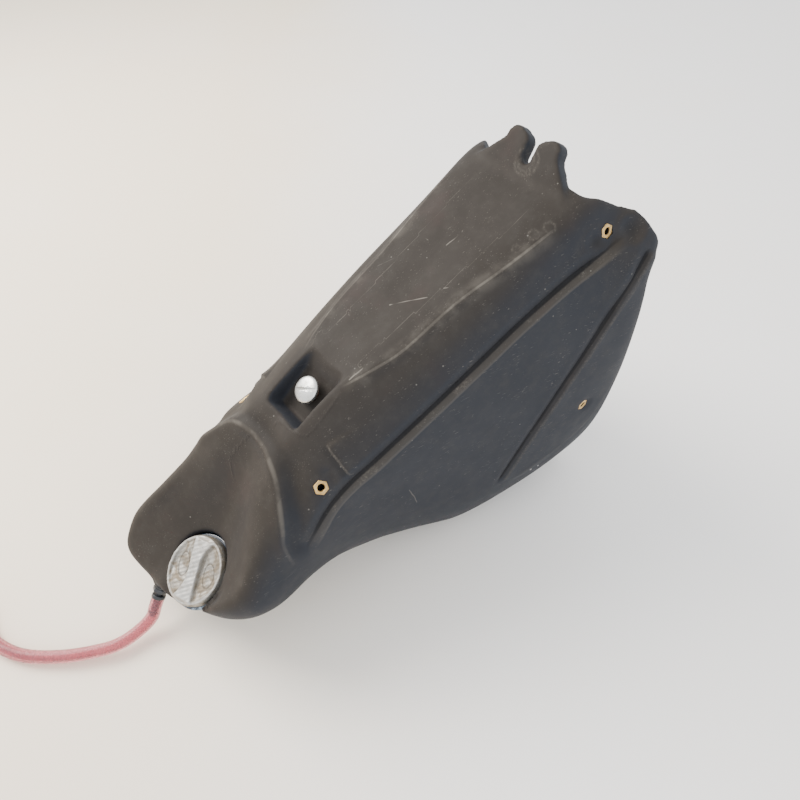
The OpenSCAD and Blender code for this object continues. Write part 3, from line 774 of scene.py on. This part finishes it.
def shell_relief(points, normals):
    """Height of the moulded lines at each point, and the signed distances and marks that the paint reads."""
    height, painted_shade, seam, worn = np.zeros((4, len(points)))
    marks = {}
    for name in (*FLANK_LINES, "bulb"):
        marks[name] = np.full(len(points), FAR)
        marks[name + "_here"] = np.zeros(len(points))

    def note(name, s, strength):
        new = (np.abs(s) < np.abs(marks[name])) & (strength > 0.01)
        marks[name][new] = s[new]
        marks[name + "_here"][new] = strength[new]

    for pick in (list, mirrored):
        for name, (line, toward, fade, profile) in FLANK_LINES.items():
            s, w = beside(pick(line), points, normals, toward, fade)
            height += w * profile(s)
            note(name, s, w)
        for centre, radius, depth in REAR_DISHES:
            gap = gap_to(pick([centre])[0], points)
            height += depth * (0.35 * hump(gap, radius * 1.5, radius * 0.4) - hump(gap, 0, radius))
            painted_shade = np.maximum(painted_shade, 0.4 * hump(gap, 0, radius * 0.8))

    s, w = beside(BULB_RIDGE, points, normals, REARWARD, (0.10, 0.08))
    height += w * bulb_profile(s, points)
    note("bulb", s, w)
    height -= neck_dip(points, normals)

    for line in (PARTING, POCKET_LIP):
        s, w = beside(line, points, normals, REARWARD, (0.06, 0.10))
        seam = np.maximum(seam, w * hump(s, 0, 0.9))
    for centre, radius in RUB_RINGS:
        open_side = smoothstep((points[:, 0] - centre[0] + 14) / 6)
        worn = np.maximum(worn, 0.45 * hump(gap_to(centre, points), radius, 0.9) * open_side)
    # Painted shade in the dishes behind the rear inserts and in the gap where the shell meets the neck ring.
    rim = np.abs(np.linalg.norm(points[:, :2], axis=1) - RING_D / 2)
    marks["crease"] = np.maximum(painted_shade, 0.8 * hump(rim, 0, 2.5) * (points[:, 2] > NECK_FLOOR - 2))
    marks["seam"] = seam
    marks["worn"] = worn
    low = height * (1 - smoothstep((np.abs(points[:, 1]) - WIDEST) / 9))
    return np.where(height > 0, low, height), marks


def arc(centre, radius, start, end, steps=8):
    turns = [math.radians(start + (end - start) * i / steps) for i in range(steps + 1)]
    return [(centre[0] + radius * math.cos(t), centre[1] + radius * math.sin(t)) for t in turns]


def tab_outline():
    """The tail tab seen along its thickness: x runs rearward, with two round horns and a slot between."""
    right = [(-14, -60), (2, -57), (12, -50), (22, -40), (31, -31)] + arc((35, -HORN_Y), 10, -75, 60)
    inner = arc((47, 0), 11, -115, -155, 5) + [(30, -SLOT_W / 2)]
    root = arc((22, 0), SLOT_W / 2, 270, 90, 10)
    left = [(x, -y) for x, y in reversed(right + inner)]
    return right + inner + root + left


def moulded_form():
    """The shell before it is softened: a loft with the bay, the tab, the pads and the seats."""
    xs = [53, 52, 51, 50, 49, 48, 46, 44, 42, 40, 38, 36, 33, 30, 27, 24, 20]
    xs += list(range(16, TAIL_END, -RING_STEP)) + [TAIL_END]
    shell = loft("tank_skin", [section(x) for x in xs])
    cut(shell, prism("bay", BAY, -150, 110, AT_TANK))
    at_tab = AT_TANK @ Matrix.Translation(TAB_ROOT) @ Matrix.Rotation(TAB_RAKE, 4, "Y")
    join(shell, prism("tab", tab_outline(), -TAB_T, 0, at_tab @ Matrix.Scale(-1, 4, (1, 0, 0))))
    join(shell, rod("tap_pad", TAP_PAD_R, -8, 0, AT_TAP), rod("vent_boss", VENT_BOSS_R, -16, 0, AT_VENT))
    cut(shell, rod("neck_seat", RING_D / 2 + 1, NECK_FLOOR, 35, AT_TANK))
    cut(shell, pocket_tool())
    for name in SPOTS:
        cut(shell, *spot_tools(name))
    cut(shell, rod("tap_face", TAP_PAD_R + 3, 0, 30, AT_TAP), rod("vent_face", VENT_BOSS_R + 1.5, 0, 20, AT_VENT))
    cut(shell, loft("floor_cut", [circle(1000, z, 8) for z in (-100, 0)], Matrix.Scale(MM, 4)))
    return shell


def soften(shell):
    """Gives the form an even mesh and soft edges, softest at the tail's rim and the tab's root."""
    modify(shell, "REMESH", mode="VOXEL", voxel_size=VOXEL)
    modify(shell, "SMOOTH", factor=0.5, iterations=SOFTEN)
    settle(shell)
    points = tank_points(shell)[0]
    rim = shell.vertex_groups.new(name="tail_rim")
    x, y, z = points[:, 0], np.abs(points[:, 1]), points[:, 2]
    soft = smoothstep((-482 - x) / 10) * smoothstep((y - 52) / 10)
    root = hump(x, TAB_ROOT[0], 12) * (z > 24) * smoothstep((62 - y) / 10)
    soft = np.maximum(soft, root)
    for i in np.flatnonzero(soft > 0.05):
        rim.add([int(i)], float(soft[i]), "REPLACE")
    modify(shell, "SMOOTH", factor=0.5, iterations=RIM_SOFTEN, vertex_group="tail_rim")
    settle(shell)
    shell.vertex_groups.clear()


def build_shell():
    shell = moulded_form()
    soften(shell)
    points, normals = tank_points(shell)
    height = shell_relief(points, normals)[0]
    points += normals * height[:, None]
    back = np.array(AT_TANK)
    moved = points @ back[:3, :3].T + back[:3, 3]
    moved[:, 2] = np.maximum(moved[:, 2], 0)
    shell.data.vertices.foreach_set("co", moved.astype(np.float32).ravel())
    shell.data.update()

    bores = [rod("neck_bore", THREAD_D / 2 + 1, NECK_FLOOR - 12, 0, AT_TANK)]
    bores.append(rod("screw_hole", 6, -18, 1, AT_SCREW, 48))
    bores.append(rod("vent_hole", VENT_BORE_R, -30, 1, AT_VENT, 32))
    bores.append(rod("tap_hole", TAP_BORE_R, -30, 1, AT_TAP, 48))
    bores += [rod("hex_" + s, HEX_R, -INSERT_LENGTH, 2, AT_SPOT[s], 6) for s in SPOTS]
    cut(shell, *bores)

    points, normals = tank_points(shell)
    for name, values in shell_relief(points, normals)[1].items():
        add_mark(shell, name, values)
    smooth_shade(shell, 50)
    finish_piece(shell, shell_paint(), "tank", "tank_shell")


def add_mark(obj, name, values):
    """Stores a number at each point of obj, for the paint to read by name."""
    layer = obj.data.attributes.new(name, "FLOAT", "POINT")
    layer.data.foreach_set("value", np.asarray(values, np.float32))


def tank_points(obj):
    """The points of obj in tank millimetres, and their normals."""
    mesh = obj.data
    co, no = np.zeros((2, len(mesh.vertices) * 3), np.float32)
    mesh.vertices.foreach_get("co", co)
    mesh.vertex_normals.foreach_get("vector", no)
    m = np.array(TO_TANK)
    points = co.reshape(-1, 3).astype(float) @ m[:3, :3].T + m[:3, 3]
    normals = no.reshape(-1, 3).astype(float) @ m[:3, :3].T
    return points, normals / np.maximum(np.linalg.norm(normals, axis=1), 1e-9)[:, None]


def pocket_tool():
    """The pocket round the seat screw: upright walls toward the nose, a floor that runs out to the tail."""
    side = [(POCKET_FRONT, 0), (POCKET_FRONT + 6, 40), (-70, 40), (-46, 12), (-12, 0)]
    rings = [[(x, y, z) for x, z in side] for y in (POCKET_W / 2, -POCKET_W / 2)]
    return loft("pocket", rings, AT_SCREW)


def spot_tools(name):
    """What is pressed into the shell round one insert."""
    at = AT_SPOT[name]
    if name.startswith("front"):
        flip = 1 if name.endswith("left") else -1
        corners = [(40, -14), (34, 14), (-12, 17), (-17, -6), (-6, -20)]
        corners = [(x, y * flip) for x, y in corners][::flip]
        return [prism("front_face", corners, 0, 20, at)]
    if name.startswith("rear"):
        return [lathe("rear_face", [(9, 0), (14, 5), (20, 20)], at)]
    return [lathe("lower_face", [(9, 0), (13, 4), (18, 20)], at)]


# ---- the filler
CAP_R = 33.5
CAP_BOTTOM = -10.0
BAR_Z, LIP_Z, DISH_Z = -0.3, -2.4, -5.8
LIP_R = 28.5
BAR_END = 27.5
# The plain oval line in each dish: half its length, half its width, and its middle's distance from the bar
OVAL_U, OVAL_V, OVAL_OFF = 11.0, 6.4, 17.0


def build_cap():
    """The cast cap: hourglass grip, two finger dishes with a plain oval line, a lip and a notch."""
    around, out = 220, 70
    angles = np.arange(around) * 2 * math.pi / around
    rows, dark, rubbed = [], [], []

    def add_row(u, v, z, painted_shade, rub):
        rows.append(np.c_[u, v, z])
        dark.append(painted_shade)
        rubbed.append(rub)

    for r in CAP_R * np.linspace(0.02, 1, out) ** 0.9:
        u, v = r * np.cos(angles), r * np.sin(angles)
        add_row(u, v, *cap_height(u, v, r))
    rim = rows[-1][:, 2].min()
    flat = np.ones(around)
    u, v = CAP_R * np.cos(angles), CAP_R * np.sin(angles)
    # The cap's side, painted darker as shade the lower it goes, down to the ring.
    for drop in (1.2, 2.4, 4.0, 6.0):
        add_row(u, v, (rim - drop * 0.8) * flat, (0.3 + drop * 0.08) * flat, 0 * flat)
    add_row(0.98 * u, 0.98 * v, max(rim - 6.8, CAP_BOTTOM + 0.5) * flat, 0.98 * flat, 0 * flat)
    add_row(0.97 * u, 0.97 * v, CAP_BOTTOM * flat, 0.9 * flat, 0 * flat)
    faces = [tuple(reversed(f)) for f in ring_faces(len(rows), around)]
    faces.append(tuple(range(around)))
    faces.append(tuple(reversed(range((len(rows) - 1) * around, len(rows) * around))))
    cap = add_object("cap_cast", np.concatenate(rows), faces, AT_CAP)
    add_mark(cap, "crease", np.concatenate(dark))
    add_mark(cap, "worn", np.concatenate(rubbed))
    weld(cap)
    finish_piece(smooth_shade(cap, 60), cast_paint(), "cap", "cap_body")


def cap_height(u, v, r):
    """Height, painted shade and rubbing of the cap's top at a place on it."""
    half = 5.0 + 6.5 * (np.abs(u) / 30) ** 2.2
    across = np.abs(v - 2.4 * np.sin(u / 11))
    bar = 1 - smoothstep((across - half) / 2.6)
    bar *= 1 - smoothstep((np.abs(u) - BAR_END) / 3.5)
    lip = smoothstep((r - LIP_R) / 1.8) * (1 - smoothstep((r - CAP_R + 1.6) / 1.6))
    dish = DISH_Z + 2.2 * smoothstep(np.abs(u) / 24)
    z = dish + (BAR_Z - dish) * bar + (LIP_Z - dish) * lip * (1 - bar)
    oval = np.sqrt((u / OVAL_U) ** 2 + ((across - OVAL_OFF) / OVAL_V) ** 2)
    line = np.exp(-(((oval - 1) / 0.075) ** 2))
    z = z - 0.45 * line * (1 - bar) * (1 - lip)
    z = z - 1.6 * smoothstep((r - CAP_R + 1.2) / 1.2)
    notch = np.exp(-(((np.arctan2(v, u) - 2.3) / 0.05) ** 2)) * smoothstep((r - CAP_R + 3) / 2)
    z = z - 1.4 * notch
    z = z - 0.9 * bar * np.exp(-((u / 7) ** 2)) * smoothstep((v + 2) / 4)
    lumps = 0.22 * np.sin(u * 0.55 + 1.3) * np.sin(v * 0.47 + 0.4) + 0.12 * np.sin(u * 1.3 + v * 0.9)
    wall = np.exp(-(((across - half - 2.6) / 1.3) ** 2)) * (1 - lip)
    # Painted shade at the foot of the grip's walls, in the oval line and in the notch.
    dark = np.clip(0.6 * wall + 0.95 * line * (1 - bar) + 0.6 * notch, 0, 1)
    rubbed = np.clip(0.8 * bar * (1 - wall) + 0.7 * np.exp(-(((r - CAP_R + 2.2) / 1.0) ** 2)), 0, 1)
    return np.minimum(z + lumps, -0.05), dark, rubbed


def thread(name, radius, depth, pitch, low, high, matrix, sides, per_turn):
    """A rod with a helical thread cut into it, or the tool that cuts a threaded hole."""
    a = np.arange(sides) * 2 * math.pi / sides
    rings = []
    for z in np.linspace(low, high, int((high - low) / pitch * per_turn) + 1):
        phase = (z / pitch - a / (2 * math.pi)) % 1
        r = radius - depth * np.abs(2 * phase - 1)
        rings.append(np.c_[r * np.cos(a), r * np.sin(a), np.full(sides, z)])
    return loft(name, rings, matrix)


def build_plug():
    plug = thread("cap_thread", THREAD_D / 2 - 0.1, 1.6, 4.0, NECK_FLOOR - 7.9, -10.05, AT_CAP, 96, 12)
    cut(plug, rod("plug_hollow", THREAD_D / 2 - 5, NECK_FLOOR - 12, -14, AT_CAP))
    paint = rubber_paint("plug_plastic", (0.05, 0.05, 0.05), 0.5)
    finish_piece(smooth_shade(plug, 60), paint, "cap", "cap_plug")


def rounded_ring(name, inner, outer, low, high, soft, matrix):
    """A turned ring with four rounded corners."""
    inner, outer, low, high = inner + soft, outer - soft, low + soft, high - soft
    profile = []
    for k, corner in enumerate([(outer, low), (outer, high), (inner, high), (inner, low)]):
        profile += arc(corner, soft, 90 * k - 90, 90 * k, 4)
    return smooth_shade(tube_lathe(name, profile, matrix), 50)


def build_neck():
    ring = rounded_ring("neck_collar", THREAD_D / 2, RING_D / 2, NECK_FLOOR, -13.0, 1.3, AT_TANK)
    finish_piece(ring, gloss_paint(), "tank", "neck_ring")


# ---- seat screw and inserts
def build_screw():
    profile = [(11.6, 7.0), (12.2, 7.3), (12.5, 8.0), (12.5, 9.6), (12.2, 10.4)]
    profile += [(11.2, 11.2), (9.5, 11.9), (6, 12.6), (2, 12.95), (0.4, 13.0)]
    head = lathe("seat_screw_head", profile, AT_SCREW)
    turn = Matrix.Rotation(math.radians(32), 4, "Z")
    slot = [(-1.3, -26), (1.3, -26), (1.3, 26), (-1.3, 26)]
    cut(head, prism("slot", slot, 10.5, 16, AT_SCREW @ turn))
    round_edges(head, 0.25, 2, 40)
    join(head, thread("shank", 3.9, 0.5, 1.25, -13.9, 7.4, AT_SCREW, 40, 8))
    smooth_shade(head, 40)
    paint = metal_paint("plated_steel", (0.72, 0.72, 0.70), (0.50, 0.49, 0.46), 0.38, rust=0.12)
    finish_piece(head, paint, "tank", "collar_screw")

    rust = metal_paint("rusty_steel", (0.30, 0.20, 0.14), (0.12, 0.06, 0.035), 0.7, rust=0.8)
    collar = rounded_ring("screw_collar", 4.2, 7, 0, 7, 0.6, AT_SCREW)
    finish_piece(collar, rust, "tank", "collar_spacer")


def shade_depth(obj, at):
    """Marks how deep each point of an insert lies, so that its bore is painted darker with depth, as shade."""
    places = [at.inverted() @ v.co for v in obj.data.vertices]
    add_mark(obj, "crease", [min(1.0, max(0.0, -p.z / 1.6)) if p.xy.length < 4.5 else 0.0 for p in places])


def build_inserts():
    brass = metal_paint("brass", (0.72, 0.50, 0.22), (0.42, 0.27, 0.11), 0.4, rust=0.15)
    for name in SPOTS:
        at = AT_SPOT[name]
        body = rod(name + "_insert_skin", HEX_R, -INSERT_LENGTH, 0, at, 6)
        round_edges(body, 0.6, 3)
        cut(body, thread("bore", 3.25, 0.35, 1.0, -INSERT_LENGTH + 2, 1, at, 40, 8))
        cut(body, lathe("mouth", [(3.0, -0.8), (3.8, 0.2), (3.8, 1)], at, 40))
        smooth_shade(body, 35)
        shade_depth(body, at)
        part, side = name.split("_")
        finish_piece(body, brass, "tank", f"{part}_insert_{side}")
    seat = rounded_ring("screw_insert_skin", 4, 6, -18, 0, 0.3, AT_SCREW)
    finish_piece(seat, brass, "tank", "collar_insert")


# ---- vent and hose
HOSE_D = 13.0
HOSE_BORE = 8.0
COLLAR_TOP = 14.0
BARB_END = 34.0
# The hose's route after the barb, as in the CAD source, in millimetres of the row frame
HOSE_FREE = [
    (278, -24, 15), (298, -24, 13), (319, -31, 12), (354, -52, 10), (386, -82, 8), (404, -120, 8), (402, -160, 8),
]


def hose_path():
    start = [AT_VENT @ Vector((0, 0, d)) for d in (COLLAR_TOP, BARB_END - 10, BARB_END + 2)]
    route = np.array([tuple(p) for p in start] + [tuple(c * MM for c in p) for p in HOSE_FREE])
    return curve(route, 12)


def tube(name, path, radii, sides=32):
    """A closed tube wall along a path, between two radii given outside first."""
    ahead = np.gradient(path, axis=0)
    ahead /= np.linalg.norm(ahead, axis=1)[:, None]
    side = np.cross(ahead, (0, 0, 1.0))
    side /= np.linalg.norm(side, axis=1)[:, None]
    up = np.cross(side, ahead)
    a = np.arange(sides) * 2 * math.pi / sides
    rows = []
    for radius, order in zip(radii, (1, -1)):
        spokes = np.cos(a)[None, :, None] * side[:, None, :] + np.sin(a)[None, :, None] * up[:, None, :]
        rows.append((path[:, None, :] + radius * spokes)[::order])
    rows = np.concatenate(rows + [rows[0][:1]])
    obj = add_object(name, rows.reshape(-1, 3), ring_faces(len(rows), sides), Matrix.Identity(4))
    weld(obj)
    return smooth_shade(obj, 50)


def build_vent(rubber):
    black = rubber_paint("vent_plastic", (0.016, 0.017, 0.02), 0.38)
    nut = lathe("vent_nut_skin", [(7.6, 2.0), (8.5, 2.6), (8.5, 6.2), (7.6, 7.0)], AT_VENT, 6)
    round_edges(nut, 0.6, 3)
    cut(nut, rod("nut_bore", 4, 0, 9, AT_VENT, 40))
    finish_piece(smooth_shade(nut, 35), black, "tank", "vent_nut")

    profile = [(3.9, -12), (3.95, 9.9), (6.6, 10.1), (7.0, 10.6), (7.0, 13.4), (6.6, 13.9)]
    profile += [(3.4, 14.0), (3.3, 18)]
    for z in (18, 23, 28):
        profile += [(3.95, z + 0.4), (3.3, z + 4.6)]
    profile += [(3.0, BARB_END)]
    barb = lathe("vent_barb_skin", profile, AT_VENT, 48)
    cut(barb, rod("barb_bore", 2, -13, BARB_END + 2, AT_VENT, 32))
    finish_piece(smooth_shade(barb, 40), black, "tank", "vent_barb")

    path = hose_path()
    hose = tube("vent_hose_skin", path, (HOSE_D / 2 * MM, HOSE_BORE / 2 * MM))
    finish_piece(hose, hose_paint(), "tank", "vent_hose")
    finish_piece(refined("vent_seal", 0.3), rubber, "tank", "vent_seal")


# ---- fuel tap
def build_tap(rubber):
    alloy = metal_paint("tap_alloy", (0.46, 0.46, 0.47), (0.27, 0.27, 0.275), 0.5, grain=420.0)
    steel = metal_paint("steel", (0.62, 0.62, 0.61), (0.36, 0.35, 0.33), 0.35, rust=0.2)
    lever = metal_paint("lever_alloy", (0.60, 0.60, 0.61), (0.40, 0.40, 0.41), 0.36, bands=(1, 1, 6))
    pieces = [
        ("tap_body", 0.5, alloy, "tank", "tap_alloy"),
        ("tap_plate", 0.2, alloy, "tank", "tap_alloy"),
        ("tap_lever", 0.5, lever, "lever", "lever_alloy"),
        ("tap_flange_screws", 0.4, steel, "tank", "steel"),
        ("tap_plate_screws", 0.1, steel, "tank", "steel"),
        ("tap_wave_washer", 0.1, steel, "tank", "steel"),
        ("tap_seal", 0.3, rubber, "tank", "rubber"),
        ("tap_packing", 0.2, rubber, "tank", "rubber"),
        ("tap_strainer", 0.3, strainer_paint(), "tank", "mesh_plastic"),
        ("cap_screws", 0.2, steel, "cap", "steel"),
        ("cap_gasket", 0.4, rubber, "gasket", "rubber"),
    ]
    for node, width, paint, body, slot in pieces:
        finish_piece(refined(node, width), paint, body, node)


# ---- room
def build_room():
    floor = add_object("floor", [(-4, -4, 0), (4, -4, 0), (4, 4, 0), (-4, 4, 0)], [(0, 1, 2, 3)], Matrix.Identity(4))
    floor.data.materials.append(floor_paint())

    world = bpy.data.worlds.new("studio")
    bpy.context.scene.world = world
    world.use_nodes = True
    sky = world.node_tree.nodes["Background"]
    sky.inputs["Color"].default_value = (0.95, 0.975, 1.0, 1)
    sky.inputs["Strength"].default_value = 1.75

    def lamp(name, toward, size, power, color):
        data = bpy.data.lights.new(name, "AREA")
        data.shape, data.size, data.energy, data.color = "SQUARE", size, power, color
        obj = put_in_scene(name, data)
        obj.location = Vector(toward)
        obj.rotation_mode = "QUATERNION"
        obj.rotation_quaternion = (Vector((0, 0, 0.15)) - obj.location).to_track_quat("-Z", "Y")

    lamp("window", (0.69, -1.46, 1.65), 1.3, 84, (1.0, 0.955, 0.89))
    lamp("fill", (1.2, 1.6, 1.5), 1.6, 8, (0.90, 0.95, 1.0))


def build_camera():
    """The photograph's view: a 27 mm lens, about half a metre above the cap and to its left."""
    back = (VIEW_BACK - VIEW_RIGHT * VIEW_BACK.dot(VIEW_RIGHT)).normalized()
    up = back.cross(VIEW_RIGHT)
    data = bpy.data.cameras.new("camera")
    data.sensor_width, data.lens = 36, 27
    camera = put_in_scene("camera", data)
    at = AT_TANK.translation + VIEW_FROM * MM
    camera.matrix_world = Matrix.Translation(at) @ Matrix((VIEW_RIGHT, up, back)).transposed().to_4x4()
    bpy.context.scene.camera = camera


build_camera()
rubber = rubber_paint("rubber", (0.018, 0.018, 0.018), 0.6)
build_vent(rubber)
build_shell()
build_cap()
build_plug()
build_neck()
build_screw()
build_inserts()
build_tap(rubber)
build_room()
